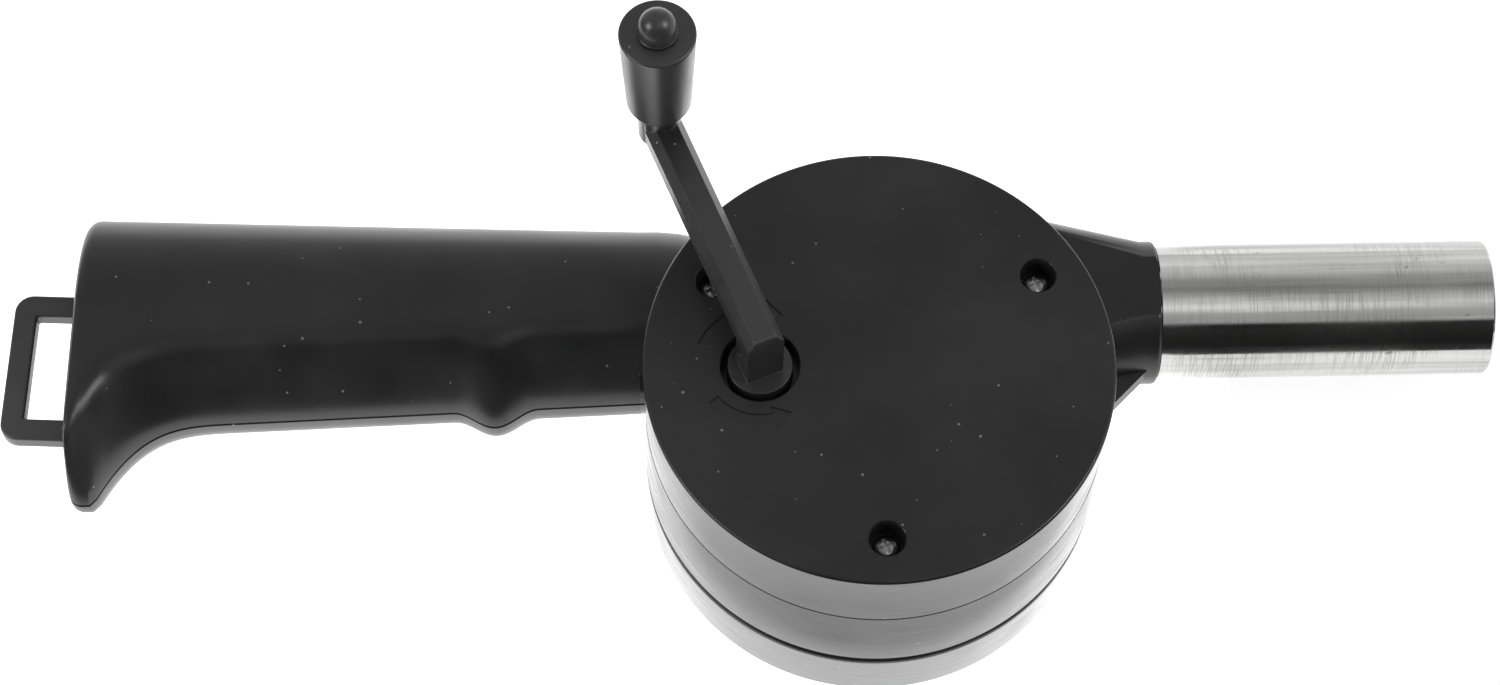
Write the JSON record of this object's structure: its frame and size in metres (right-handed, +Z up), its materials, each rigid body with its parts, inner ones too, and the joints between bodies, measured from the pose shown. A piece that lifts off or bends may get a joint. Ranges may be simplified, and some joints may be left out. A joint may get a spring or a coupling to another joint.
{
  "type": "hand crank blower",
  "caption": "Hand crank air blower: a drum with a geared centrifugal fan, a moulded handle with a hanging loop, a steel blow tube and a crank with a spinning knob.",
  "frame": {"origin": "on the drum axis at the underside of the base", "axes": "+Z up along the drum axis to the crank side, +X along the blow tube to the nozzle, +Y to the side where handle and tube lie"},
  "size_m": [0.2429, 0.0802, 0.0891],
  "materials": {
    "housing_plastic": "moulded gloss",
    "crank_plastic": "moulded gloss",
    "gear_plastic": "natural, unpainted",
    "tube_steel": "brushed",
    "hardware_steel": "zinc plated",
    "bush_bronze": "sintered"
  },
  "bodies": {
    "housing": {"lower_housing": "housing_plastic", "upper_housing": "housing_plastic", "gear_cover": "housing_plastic", "air_tube": "tube_steel", "hanging_loop": "housing_plastic", "cover_screws": "hardware_steel", "housing_screws": "hardware_steel", "handle_screws": "hardware_steel", "lower_bush": "bush_bronze", "upper_bush": "bush_bronze", "idler_axle": "hardware_steel"},
    "crank": {"crank_arm": "crank_plastic", "crank_gear": "gear_plastic", "crank_washer": "hardware_steel", "crank_screw": "hardware_steel", "knob_pin": "crank_plastic"},
    "knob": {"crank_knob": "crank_plastic"},
    "idler": {"idler_gear": "gear_plastic"},
    "fan": {"impeller": "gear_plastic", "impeller_shaft": "hardware_steel", "impeller_pinion": "gear_plastic", "shaft_washer": "hardware_steel"}
  },
  "joints": [
    {"name": "crank_turn", "type": "hinge", "parent": "housing", "child": "crank", "pos_m": [-0.0184, 0, 0.048], "axis": [0, 0, 1], "continuous": true},
    {"name": "knob_spin", "type": "hinge", "parent": "crank", "child": "knob", "pos_m": [-0.03321, 0.0378, 0.072], "axis": [0, 0, 1], "continuous": true},
    {"name": "idler_spin", "type": "hinge", "parent": "housing", "child": "idler", "pos_m": [-0.0087, -0.01222, 0.036], "axis": [0, 0, 1], "continuous": true},
    {"name": "fan_spin", "type": "hinge", "parent": "housing", "child": "fan", "pos_m": [0, 0, 0.018], "axis": [0, 0, 1], "continuous": true}
  ],
  "couplings": [
    {"joint": "idler_spin", "follows": "crank_turn", "ratio": -3.3333},
    {"joint": "fan_spin", "follows": "crank_turn", "ratio": 10.556}
  ]
}
